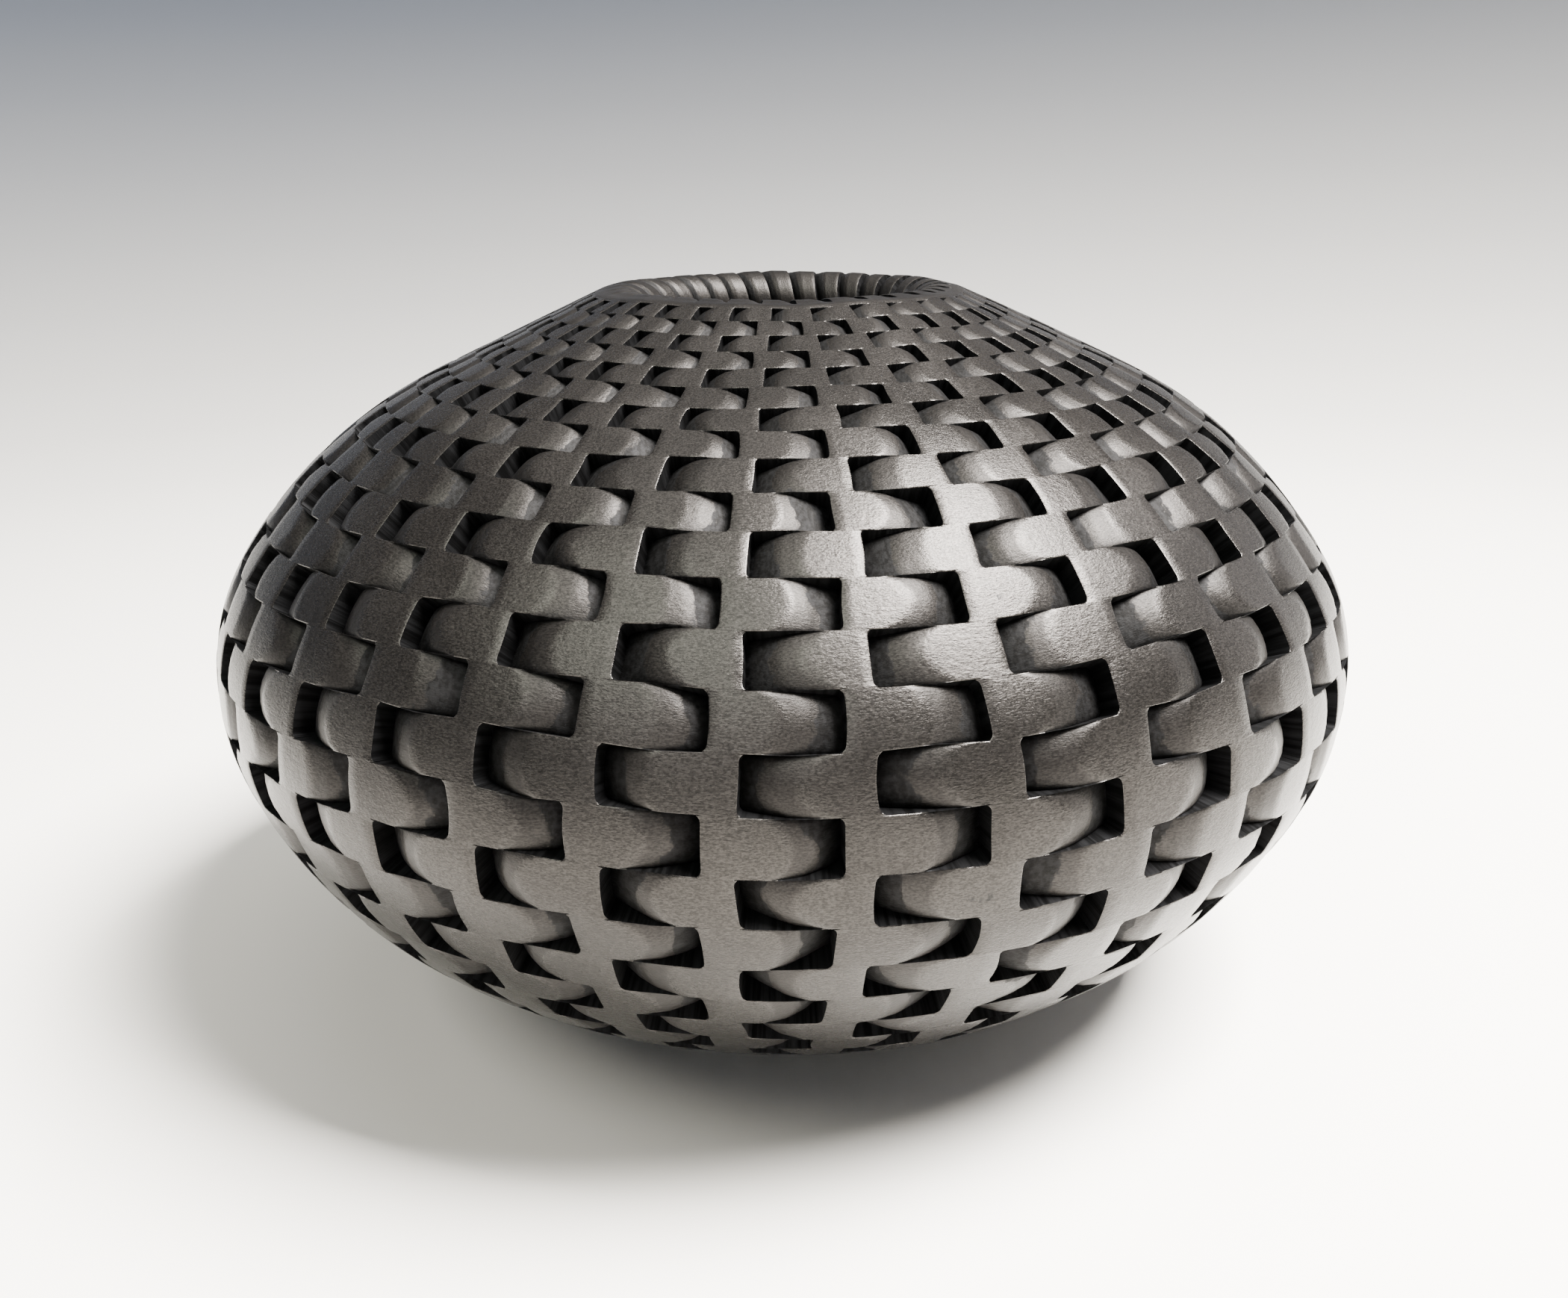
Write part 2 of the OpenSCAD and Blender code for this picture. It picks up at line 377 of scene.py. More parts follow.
class Weave:
    """Where each cut lies: edges, depths and stray offsets for every row and column."""

    def __init__(self, profile, weave):
        self.profile = profile
        self.w = weave
        self.n = weave.columns
        self.lines = row_lines(profile, weave)
        rng = np.random.default_rng(weave.seed)
        shape = (weave.rows + 2, self.n)
        stray = weave.hand_wander
        self.left_stray = rng.normal(0, stray, shape)
        self.right_stray = rng.normal(0, stray, shape)
        self.left_tilt = rng.normal(0, stray * TILT_STRAY, shape)
        self.right_tilt = rng.normal(0, stray * TILT_STRAY, shape)
        self.deep_stray = 1 + rng.normal(0, DEPTH_STRAY, shape)
        self.run_stray = 1 + rng.normal(0, RUN_STRAY, shape)
        self.line_stray = rng.normal(0, LINE_STRAY, (weave.rows + 2, self.n, 2))
        self.left_bow = rng.normal(0, 1, shape)
        self.right_bow = rng.normal(0, 1, shape)
        self.knee = rng.uniform(-KNEE_STRAY, KNEE_STRAY, shape)
        self.crown = weave.strand_crown * rng.uniform(*CROWN_RANGE, shape)

    def column_places(self):
        """Names of the grid lines of one column, left to right: the land before the left edge, the
        edge, the foot of its cut, the floor, then the same on the right and a line on the rib."""
        left = ["left_land", "left_edge", "left_foot"]
        right = ["right_foot", "right_edge", "right_land", "rib"]
        return np.array(left + ["floor"] * (FIGURE_STEPS - 1) + right)

    def line_at(self, line, x):
        """Distance down the wall of a row line at the places x: its rule, the slow wave, and a
        small kink at each column. The first and the last line have no wave."""
        index = int(np.clip(line, 0, len(self.lines) - 1))
        next_line = self.lines[min(index + 1, len(self.lines) - 1)]
        height = (next_line - self.lines[max(index - 1, 0)]) / 2
        strays = self.line_stray[index].ravel()
        knots = np.arange(2 * self.n) / 2
        kink = np.interp(np.mod(x, self.n), np.append(knots, self.n), np.append(strays, strays[0]))
        if 0 < index < len(self.lines) - 1:
            return self.lines[index] + height * (row_wave(x, self.n, index) + kink)
        return self.lines[index] + height * END_KINK * kink

    def figure_edges(self, row, share):
        """Left and right deep edges of every column's figure at a share of the row's height.

        Each leans by its own tilt and bows by its own sine, as a knife cut does."""
        middle = np.arange(self.n)
        half = by_row(COLUMN_FIGURE, row) / 2
        bow = self.w.hand_wander * np.sin(math.pi * share)
        left = middle - half + self.left_stray[row] + self.left_tilt[row] * (share - 0.5)
        right = middle + half + self.right_stray[row] + self.right_tilt[row] * (share - 0.5)
        return left + bow * self.left_bow[row], right + bow * self.right_bow[row]


def band_offsets(height, corner):
    """Distances from the top of a row at which its grid lines lie: close together by both
    edges, where the cut and its rounded corners are, and wide apart between."""
    near = [0.0, CUT, EDGE, 0.55 * corner, corner]
    near = [d for d in near if d < 0.42 * height]
    middle = np.linspace(near[-1], height - near[-1], 5)[1:-1]
    return np.array(near + list(middle) + [height - d for d in near[::-1][:-1]])


def carved_band(layout, row, hand):
    """One row of pockets, facing the way of the hand, as a grid without its last line.

    Across, the grid lines follow every figure's edges; down, they follow the row's own lines.
    The depth is the pocket's deepest cut times the strand curve, with the deep corners drawn in
    by the corner radius, and edges are lowered a little by wear. Every grid holds the places x
    and s, the row that the columns lean by, the depth under the face, the pocket's own depth
    before its side walls, and three numbers for the finish: hollow; the worn rims, which are also
    painted paler as a painted highlight; and the painted shade in the angle under the pocket's sides."""
    w, n = layout.w, layout.n
    kinds = layout.column_places()
    radius = float(layout.profile.outer((layout.lines[row - 1] + layout.lines[row]) / 2)[0])
    pitch = 2 * math.pi * radius / n
    corner = w.corner_radius * pitch
    height = layout.lines[row] - layout.lines[row - 1]
    offsets = band_offsets(height, corner)[:, None, None]
    share = offsets / height
    edge = EDGE / pitch
    cut = CUT / pitch

    left, right = layout.figure_edges(row, share[..., 0])
    left, right = left[..., None], right[..., None]

    # Rounded deep corners: a circle of the corner radius, measured from the nearer row line
    gap = np.minimum(offsets, height - offsets)
    short = np.clip(1 - gap / corner, 0, 1)
    drawn_in = corner / pitch * (1 - np.sqrt(1 - np.where(gap > 0, short, 0) ** 2))
    left = left + (drawn_in if hand > 0 else 0)
    right = right - (drawn_in if hand < 0 else 0)

    steps = np.linspace(0, 1, FIGURE_STEPS + 1)[1:-1]
    floor = left + cut + (right - left - 2 * cut) * steps
    next_left = np.roll(left, -1, axis=1) + np.where(np.arange(n) == n - 1, n, 0)[:, None]
    rib = (right + next_left) / 2
    x = np.concatenate(
        [left - edge, left, left + cut, floor, right - cut, right, right + edge, rib], axis=2)

    # Depth of the pocket floor, from its deep edge
    deep = w.pocket_depth * pitch * layout.deep_stray[row][None, :, None]
    crown = layout.crown[row][None, :, None] * ((2 * share - 1) ** 2 - CROWN_LEVEL)
    run = w.pocket_run * layout.run_stray[row][None, :, None] * (1 + crown)
    t = (x - left) / run if hand > 0 else (right - x) / run
    foot, rim = ("left_foot", "left_edge") if hand > 0 else ("right_foot", "right_edge")
    past_foot = hand * (np.arange(len(kinds)) - place_of(kinds, foot)) >= 0
    skew = KNEE_SKEW * (share - 0.5) * layout.left_bow[row][None, :, None]
    knee = layout.knee[row][None, :, None] + skew
    depth = np.where(past_foot, deep * strand(np.clip(t, 0, 1), knee), 0.0)
    on_rim = np.broadcast_to(kinds == rim, depth.shape)
    depth = np.where(on_rim, w.edge_wear, depth)
    # The rim mask also makes the material paint the edge paler: wear and a painted highlight
    wear_and_highlight = np.where(on_rim, 1.0, 0.0)

    # The row line itself is face: the pocket's side walls rise to it
    at_line = np.broadcast_to(offsets == 0, depth.shape)
    pocket = depth
    depth = np.where(at_line, 0.0, depth)
    wear_and_highlight = np.where(at_line, 0.0, wear_and_highlight)

    x = x.reshape(len(offsets), -1)
    top = layout.line_at(row - 1, x)
    bottom = layout.line_at(row, x)
    s = top + (bottom - top) * share[..., 0]
    close = offsets[..., 0]
    s = np.where(close <= EDGE, top + close, s)
    s = np.where(height - close <= EDGE + 1e-9, bottom - (height - close), s)
    hollow = pocket / (w.pocket_depth * pitch)
    # Painted shade: the floor is darkened near the pocket's sides, more where it is deep
    painted_shade = np.clip(pocket / PAINTED_SHADE_DEPTH, 0, 1) * np.exp(-gap / PAINTED_SHADE_REACH)
    return dict(
        x=x, s=s, row=np.full(x.shape, float(row)), depth=depth.reshape(x.shape),
        pocket=pocket.reshape(x.shape), hollow=hollow.reshape(x.shape),
        wear_and_highlight=wear_and_highlight.reshape(x.shape), painted_shade=painted_shade.reshape(x.shape))


def stack_bands(layout, first, last):
    """All carved bands between two row lines, joined into one grid that ends on a row line.

    Where two bands meet, their shared line takes the mean of both layouts, and is worn down
    where a pocket on either side is deep."""
    def band_of(row):
        """A row's band, or nothing above the first row and below the last."""
        return carved_band(layout, row, hand_of(row)) if 0 < row <= layout.w.rows else None

    bands = [band_of(row) for row in range(first + 1, last + 1)]
    above, below = band_of(first), band_of(last + 1)
    wear = layout.w.edge_wear

    def joined(upper, lower, line):
        """The shared row line between two bands, as one grid row."""
        if upper is None:
            source = {key: value[0:1].copy() for key, value in lower.items()}
            side = lower["pocket"][1:2]
        elif lower is None:
            source = {key: value[-1:].copy() for key, value in upper.items()}
            side = upper["pocket"][-1:]
        else:
            source = {key: (upper[key][-1:] + lower[key][0:1]) / 2 for key in lower}
            side = np.maximum(upper["pocket"][-1:], lower["pocket"][1:2])
        source["s"] = layout.line_at(line, source["x"])
        source["depth"] = np.minimum(wear, 0.5 * side)
        # The shared line is also painted paler where it is worn: wear and a painted highlight
        source["wear_and_highlight"] = np.clip(side / (2 * wear), 0, 1)
        source["hollow"] = np.zeros(source["x"].shape)
        source["painted_shade"] = np.zeros(source["x"].shape)
        return source

    parts = []
    for index, band in enumerate(bands):
        upper = bands[index - 1] if index else above
        parts.append(joined(upper, band, first + index))
        parts.append({key: value[1:] for key, value in band.items()})
    parts.append(joined(bands[-1], below, last))
    return {key: np.concatenate([part[key] for part in parts]) for key in parts[0]}


# ---------------------------------------------------------------------------------------------
# Meshes
# ---------------------------------------------------------------------------------------------

def hand_built(turn, s):
    """Slight unevenness of a wall raised by hand: three slow waves, a few tenths of a millimetre."""
    return MM * (0.35 * np.sin(2 * turn + 0.8) * np.sin(s * 24)
                 + 0.22 * np.sin(5 * turn + s * 40)
                 + 0.12 * np.sin(11 * turn - s * 90 + 2.0))


def smooth_step(value, low, high):
    """Rises from 0 at low to 1 at high, level at both ends: three times the square of the share
    less twice its cube."""
    share = np.clip((value - low) / (high - low), 0, 1)
    return share * share * (3 - 2 * share)


def closed_grid(points):
    """Faces of a grid of rings that is closed both ways, wound so that they face outwards.

    Ring i, place j joins ring i + 1 and place j + 1, both counted round."""
    rings, places = points.shape[:2]
    index = np.arange(rings * places).reshape(rings, places)
    right = np.roll(index, -1, axis=1)
    down = np.roll(index, -1, axis=0)
    across = np.roll(down, -1, axis=1)
    return np.stack([index, down, across, right], axis=-1).reshape(-1, 4)


def steepness(s, turn, depth, radius):
    """How steep each face of a carved grid is: the fall in depth over it, divided by the shorter
    side it would have on the uncarved face."""
    def corners(values):
        """The values at the four corners of every face."""
        after = np.roll(values, -1, axis=1)
        below = np.roll(values, -1, axis=0)
        return np.stack([values, after, below, np.roll(below, -1, axis=1)])

    fall = np.ptp(corners(depth), axis=0)
    tall = np.abs(np.roll(s, -1, axis=0) - s)
    wide = radius * np.abs(np.mod(np.roll(turn, -1, axis=1) - turn, 2 * math.pi))
    return fall / np.maximum(np.minimum(tall, wide), 1e-6)


def new_piece(name, points, faces, grain, crease, values=None, cut=None):
    """A mesh object from an array of points and a list of face arrays, quads and triangles apart.

    grain is where each point lies in the clay's grain; values are further numbers per point, and
    cut says for each face how steeply it was cut."""
    mesh = bpy.data.meshes.new(name)
    mesh.vertices.add(points.size // 3)
    mesh.vertices.foreach_set("co", points.astype(np.float32).ravel())
    corners = np.concatenate([group.ravel() for group in faces])
    sizes = np.concatenate([np.full(len(group), group.shape[1]) for group in faces])
    mesh.loops.add(len(corners))
    mesh.loops.foreach_set("vertex_index", corners.astype(np.int32))
    mesh.polygons.add(len(sizes))
    mesh.polygons.foreach_set("loop_start", (np.cumsum(sizes) - sizes).astype(np.int32))
    mesh.update(calc_edges=True)
    mesh.validate()
    mesh.shade_smooth()
    mesh.set_sharp_from_angle(angle=crease)
    layer = mesh.attributes.new("grain", "FLOAT_VECTOR", "POINT")
    layer.data.foreach_set("vector", grain.astype(np.float32).ravel())
    for key, array in (values or {}).items():
        layer = mesh.attributes.new(key, "FLOAT", "POINT")
        layer.data.foreach_set("value", np.asarray(array, np.float32).ravel())
    if cut is not None:
        layer = mesh.attributes.new("cut", "FLOAT", "FACE")
        layer.data.foreach_set("value", cut.astype(np.float32).ravel())
    piece = bpy.data.objects.new(name, mesh)
    bpy.context.scene.collection.objects.link(piece)
    return piece


def place_piece(piece, node, material):
    """Gives a piece its material and lets it stand for a CAD node."""
    piece.data.materials.clear()
    piece.data.materials.append(material)
    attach(piece, BODY)
    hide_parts(node)
    return piece


def rounded(turn, r, z):
    """Points on circles: x = r cos turn, y = r sin turn."""
    return np.stack([r * np.cos(turn), r * np.sin(turn), z], axis=-1)


def carved_piece(name, points, grid, turn, inner_turn, inner_s, radius):
    """A closed ring of clay whose outer points come from a carved grid and whose other points
    lie inside. The grain runs round a cylinder, and down the wall it follows the distance s."""
    zeros = np.zeros(inner_turn.shape)
    all_turn = np.concatenate([turn, inner_turn])
    all_s = np.concatenate([grid["s"], inner_s])
    grain = rounded(all_turn, GRAIN_RADIUS, all_s)
    values = {key: np.concatenate([grid[key], zeros]) for key in ("hollow", "wear_and_highlight", "painted_shade")}
    values["inside"] = np.concatenate([np.zeros(turn.shape), zeros + 1])
    steep = steepness(all_s, all_turn, np.concatenate([grid["depth"], zeros]), radius)
    steep[len(turn) - 1:] = 0
    cut = np.clip((steep - CUT_SLOPE) / CUT_SLOPE_BAND, 0, 1)
    return new_piece(name, points, [closed_grid(points)], grain, CREASE, values, cut)


def wall_piece(name, profile, grid, columns, inner_ends, bare_rings=8):
    """A closed section of the wall: its carved outer grid, then the inner face from bottom to
    top, each inner ring lying the wall's thickness under the outer face."""
    turn = turn_at(grid["x"], grid["row"], columns)
    depth = grid["depth"] - hand_built(turn, grid["s"])
    r, z = profile.sunk(grid["s"], depth)
    outer = rounded(turn, r, z)

    # Under the outer grid: the lower joint's corner, the inner face, the upper joint's corner
    first, last = inner_ends
    share = np.concatenate([[0], np.linspace(0, 1, bare_rings), [1]])[:, None]
    inner_turn = turn[-1:] + (turn[:1] - turn[-1:]) * share
    inner_s = last + (first - last) * share + 0 * inner_turn
    inner_s[0], inner_s[-1] = grid["s"][-1], grid["s"][0]
    step = settings()[1].joint_step
    sink = profile.p.wall * np.concatenate([[step], np.ones(bare_rings), [step]])[:, None]
    r, z = profile.sunk(inner_s, sink)
    inner = rounded(inner_turn, r, z)

    points = np.concatenate([outer, inner])
    return carved_piece(name, points, grid, turn, inner_turn, inner_s, WALL_RADIUS)


def lathed(name, outline, steps=240, crease=math.radians(40)):
    """A closed solid of revolution from an outline of (radius, height) points that runs down the
    outside first. Where it starts and ends on the axis, a pole closes it at the top and bottom."""
    outline = np.asarray(outline, float)
    turn = np.linspace(0, 2 * math.pi, steps, endpoint=False)
    on_axis = outline[:, 0] < 1e-9
    ring = outline[~on_axis]
    points = rounded(turn[None, :], ring[:, :1] + 0 * turn, ring[:, 1:] + 0 * turn)
    quads = closed_grid(points)
    points = points.reshape(-1, 3)
    if not on_axis.any():
        return new_piece(name, points, [quads], points, crease)
    # Each pole is joined to its nearest ring by a fan of triangles
    poles = outline[on_axis] @ np.array([[1, 0, 0], [0, 0, 1]])
    here = np.arange(steps)
    after = np.roll(here, -1)
    last = (len(ring) - 1) * steps
    top, bottom = np.full(steps, len(points)), np.full(steps, len(points) + 1)
    fans = np.concatenate([
        np.stack([here, after, top], axis=-1),
        np.stack([last + after, last + here, bottom], axis=-1)])
    points = np.concatenate([points, poles])
    return new_piece(name, points, [quads[:last], fans], points, crease)


# ---------------------------------------------------------------------------------------------
# Materials
# ---------------------------------------------------------------------------------------------

class Shader:
    """Short hand for building one node material."""

    def __init__(self, name):
        self.material = bpy.data.materials.get(name) or bpy.data.materials.new(name)
        self.material.use_nodes = True
        self.tree = self.material.node_tree
        self.tree.nodes.clear()
        self.output = self.node("ShaderNodeOutputMaterial")
        self.surface = self.node("ShaderNodeBsdfPrincipled")
        self.link(self.surface.outputs["BSDF"], self.output.inputs["Surface"])

    def node(self, kind, **options):
        """A new node with the given properties."""
        made = self.tree.nodes.new(kind)
        for key, value in options.items():
            setattr(made, key, value)
        return made

    def link(self, source, target):
        """Joins an output to an input."""
        self.tree.links.new(source, target)

    def fill(self, socket, value):
        """Sets a socket to a number or colour, or links another socket into it."""
        if isinstance(value, bpy.types.NodeSocket):
            self.link(value, socket)
        elif hasattr(value, "__len__") and socket.type == "RGBA":
            socket.default_value = (*value, 1.0)
        else:
            socket.default_value = value

    def attribute(self, name, output="Fac"):
        """A named attribute of the mesh."""
        return self.node("ShaderNodeAttribute", attribute_name=name).outputs[output]

    def math(self, operation, a, b=0.0, clamp=False):
        """One arithmetic step."""
        made = self.node("ShaderNodeMath", operation=operation, use_clamp=clamp)
        self.fill(made.inputs[0], a)
        self.fill(made.inputs[1], b)
        return made.outputs[0]

    def sum(self, first, *others):
        """Several values added up."""
        total = first
        for value in others:
            total = self.math("ADD", total, value)
        return total

    def about(self, noise, amount):
        """A noise's swing about its mean, times an amount."""
        return self.math("MULTIPLY", self.math("SUBTRACT", noise, 0.5), amount)

    def ramp(self, value, low, high, to_low=0.0, to_high=1.0):
        """Carries a value from one range to another, smoothly and clamped."""
        made = self.node("ShaderNodeMapRange", interpolation_type="SMOOTHSTEP", clamp=True)
        for socket, number in zip(made.inputs, (value, low, high, to_low, to_high)):
            self.fill(socket, number)
        return made.outputs[0]

    def noise(self, place, scale, stretch=(1, 1, 1), detail=3.0, roughness=0.55, seed=(0, 0, 0)):
        """Cloud noise at a place, stretched by a mapping; its mean is about a half."""
        mapping = self.node("ShaderNodeMapping")
        self.link(place, mapping.inputs["Vector"])
        mapping.inputs["Scale"].default_value = stretch
        mapping.inputs["Location"].default_value = seed
        made = self.node("ShaderNodeTexNoise")
        self.link(mapping.outputs["Vector"], made.inputs["Vector"])
        made.inputs["Scale"].default_value = scale
        made.inputs["Detail"].default_value = detail
        made.inputs["Roughness"].default_value = roughness
        return made.outputs["Fac"]

    def mix_color(self, factor, a, b):
        """Blend of two colours."""
        made = self.node("ShaderNodeMix", data_type="RGBA")
        self.fill(made.inputs[0], factor)
        self.fill(made.inputs[6], a)
        self.fill(made.inputs[7], b)
        return made.outputs[2]

    def tinted(self, color, tone):
        """A colour made lighter or darker by a tone, 1 leaving it as it is."""
        made = self.node("ShaderNodeMix", data_type="RGBA", blend_type="MULTIPLY")
        made.inputs[0].default_value = 1.0
        self.fill(made.inputs[6], color)
        self.fill(made.inputs[7], tone)
        return made.outputs[2]

    def bump(self, height, strength, distance, normal=None):
        """Relief from a height value."""
        made = self.node("ShaderNodeBump")
        made.inputs["Strength"].default_value = strength
        made.inputs["Distance"].default_value = distance
        self.link(height, made.inputs["Height"])
        if normal is not None:
            self.link(normal, made.inputs["Normal"])
        return made.outputs["Normal"]


def burnished_clay():
    """Clay rubbed with a stone and blackened in the kiln: a graphite sheen on the face, broken by
    fine level strokes and pinholes, duller knife facets in the pockets, black painted where no tool
    could polish, partly carbon and partly painted shade, and rubbed edges painted paler, partly wear
    and partly a painted highlight."""
    finish = settings()[2]
    sh = Shader("burnished_clay")
    hollow = sh.attribute("hollow")
    wear_and_highlight = sh.attribute("wear_and_highlight")
    inside = sh.attribute("inside")
    grain = sh.attribute("grain", "Vector")

    strokes = sh.noise(grain, 1400, (1, 1, 3.0), 4, 0.62)
    pebble = sh.noise(grain, 800, (1, 1, 1.5), 3, 0.5, (3, 1, 2))
    flakes = sh.noise(grain, 2300, (1, 1, 1.4), 2, 0.6, (9, 1, 6))
    brush = sh.noise(grain, 1300, (1, 1, 0.6), 3, 0.6, (5, 5, 2))
    facets = sh.noise(grain, 210, (1.6, 1.6, 0.8), 3, 0.6, (1, 8, 4))
    spread = sh.noise(grain, 70, (1, 1, 1), 2, 0.5, (2, 7, 1))
    patches = sh.noise(grain, 38, (1, 1, 1.4), 3, 0.5, (7, 2, 5))

    # How deep each place seems: its real depth, frayed by brush marks. Deep places are painted black:
    # partly unpolished carbon, partly painted shade
    depth = sh.sum(hollow, sh.about(facets, 0.50), sh.about(spread, 0.90), sh.about(brush, 0.20))
    char_and_shade = sh.ramp(depth, 0.31, 0.36, 0.0, 0.84)
    carbon_and_shade = sh.math("MAXIMUM", char_and_shade, sh.ramp(depth, 0.45, 0.95))
    # Painted shade in the angle under the pockets' sides
    painted_shade = sh.math("MULTIPLY", sh.attribute("painted_shade"), sh.ramp(facets, 0.25, 0.6, 0.6, 1.1))
    carbon_and_shade = sh.math("MAXIMUM", carbon_and_shade, painted_shade)
    # Steep cut walls are painted black too: partly unpolished clay, partly painted shade
    carbon_and_shade = sh.math("MAXIMUM", carbon_and_shade, sh.attribute("cut"), clamp=True)

    # The face glints from fine flakes of graphite that the stone laid flat
    polish = sh.ramp(hollow, 0.01, 0.08, 1.0, 0.0)
    flake = sh.sum(sh.math("MULTIPLY", flakes, 0.6), sh.math("MULTIPLY", strokes, 0.4))
    cloudy = sh.ramp(patches, 0.3, 0.7, 0.85, 1.15)
    tone = sh.math("MULTIPLY", sh.ramp(flake, 0.38, 0.62, 0.60, 1.42), cloudy)
    face = sh.tinted(sh.mix_color(polish, finish.ramp_color, finish.burnish_color), tone)
    color = sh.mix_color(inside, face, finish.bare_color)

    # Rubbed edges painted paler: partly wear, partly a painted highlight along them
    rub_and_highlight = sh.math("MULTIPLY", sh.ramp(wear_and_highlight, 0.45, 1.0), sh.ramp(strokes, 0.40, 0.60))
    color = sh.mix_color(sh.math("MULTIPLY", rub_and_highlight, 0.5), color, finish.wear_dust_and_highlight_color)

    specks = sh.node("ShaderNodeTexVoronoi")
    sh.link(grain, specks.inputs["Vector"])
    specks.inputs["Scale"].default_value = 300
    crumb = sh.math("LESS_THAN", specks.outputs["Distance"], 0.07)
    chosen = sh.math("GREATER_THAN", sh.noise(grain, 150, (1, 1, 1), 1, 0.5, (4, 4, 9)), 0.70)
    dust = sh.math("MULTIPLY", crumb, chosen)
    color = sh.mix_color(sh.math("MULTIPLY", dust, 0.8), color, finish.wear_dust_and_highlight_color)
    black = sh.tinted(finish.carbon_and_shade_color, sh.ramp(brush, 0.38, 0.62, 0.35, 1.9))
    sh.link(sh.mix_color(carbon_and_shade, color, black), sh.surface.inputs["Base Color"])

    # As dark metals, graphite and the black of the deep places reflect no more than their colour, so
    # the painted shade also loses its sheen
    graphite = sh.ramp(inside, 0.0, 1.0, 0.7, 0.0)
    metal = sh.math("MAXIMUM", graphite, sh.math("MULTIPLY", carbon_and_shade, 0.9))
    sh.link(metal, sh.surface.inputs["Metallic"])

    gloss = sh.sum(
        sh.ramp(polish, 0.0, 1.0, 0.40, 0.265), sh.about(strokes, 0.20), sh.about(patches, 0.10),
        sh.math("MULTIPLY", sh.math("MAXIMUM", carbon_and_shade, inside), 0.28))
    sh.link(gloss, sh.surface.inputs["Roughness"])
    sh.surface.inputs["Specular IOR Level"].default_value = 0.24

    normal = sh.bump(pebble, 0.35, 0.16 * MM)
    normal = sh.bump(strokes, 0.50, 0.09 * MM, normal)
    normal = sh.bump(flakes, 0.50, 0.09 * MM, normal)
    normal = sh.bump(facets, 0.06, 0.8 * MM, normal)
    sh.link(normal, sh.surface.inputs["Normal"])
    return sh.material


def bare_clay():
    """Clay that was wiped smooth but not burnished: dull black with faint turning rings."""
    finish = settings()[2]
    sh = Shader("bare_clay")
    place = sh.node("ShaderNodeTexCoord").outputs["Object"]
    cloud = sh.noise(place, 60, (1, 1, 1), 4, 0.55)
    grit = sh.noise(place, 900, (1, 1, 1), 3, 0.6, (2, 6, 1))
    color = sh.tinted(finish.bare_color, sh.ramp(cloud, 0.3, 0.7, 0.75, 1.35))
    sh.link(color, sh.surface.inputs["Base Color"])
    sh.link(sh.ramp(grit, 0.3, 0.7, 0.62, 0.82), sh.surface.inputs["Roughness"])
    rings = sh.node("ShaderNodeTexWave", wave_type="RINGS", rings_direction="Z")
    sh.link(place, rings.inputs["Vector"])
    rings.inputs["Scale"].default_value = 90
    rings.inputs["Distortion"].default_value = 1.5
    normal = sh.bump(rings.outputs["Fac"], 0.15, 0.3 * MM)
    sh.link(sh.bump(grit, 0.35, 0.15 * MM, normal), sh.surface.inputs["Normal"])
    return sh.material


def studio_floor():
    """Pale seamless sweep, painted darker and cooler away from a place just right of the pot: partly a
    graded backdrop, partly painted light falloff.
    """
    finish = settings()[2]
    sh = Shader("studio_floor")
    away = sh.node("ShaderNodeVectorMath", operation="DISTANCE")
    sh.link(sh.node("ShaderNodeTexCoord").outputs["Object"], away.inputs[0])
    away.inputs[1].default_value = FALLOFF_CENTRE
    away = sh.math("DIVIDE", away.outputs["Value"], FALLOFF_REACH, clamp=True)
    # Painted light falloff: pale near the pot, fading to the far colour
    color = sh.mix_color(sh.ramp(away, 0.16, 1.0), finish.floor_color, finish.backdrop_and_falloff_color)
    sh.link(color, sh.surface.inputs["Base Color"])
    sh.surface.inputs["Roughness"].default_value = 0.55
    sh.surface.inputs["Specular IOR Level"].default_value = 0.2
    return sh.material


# ---------------------------------------------------------------------------------------------
# Operators: one per piece
# ---------------------------------------------------------------------------------------------

# Carved rows above the top of each coil, counted from the lip
NECK_TOP = 0
UPPER_SHOULDER_TOP = 5
LOWER_SHOULDER_TOP = 8
UPPER_BELLY_TOP = 11
LOWER_BELLY_TOP = 15
UPPER_BOWL_TOP = 18
LOWER_BOWL_TOP = 22

PLAIN_RINGS = 7   # rings of the plain band above the foot
FOOT_SOFTNESS = 0.6 * MM    # how far the edges of the foot's resting face are rubbed down


def with_plain_band(grid, end):
    """A grid continued without carving from its last row line down to the distance end, in
    evenly spaced rings that keep the row line's places."""
    share = np.linspace(0, 1, PLAIN_RINGS + 1)[1:, None]
    last = {key: np.repeat(value[-1:], PLAIN_RINGS, axis=0) for key, value in grid.items()}
    plain = {key: 0.0 * value for key, value in last.items()}
    plain.update(x=last["x"], row=last["row"], s=last["s"] + (end - last["s"]) * share)
    return {key: np.concatenate([grid[key], plain[key]]) for key in grid}


def build_coil(node, first, last):
    """A carved coil of the wall between two row lines. The coil that holds the last carved row
    goes on plain down to the foot."""
    profile_settings, weave, _ = settings()
    profile = Profile(profile_settings)
    layout = Weave(profile, weave)
    grid = stack_bands(layout, first, last)
    bottom = layout.lines[last] + weave.joint_lap
    if last == weave.rows:
        grid = with_plain_band(grid, profile.end)
        bottom = profile.end
    ends = (layout.lines[first] + weave.joint_lap, bottom)
    piece = wall_piece(node + "_carved", profile, grid, layout.n, ends)
    return place_piece(piece, node, burnished_clay())


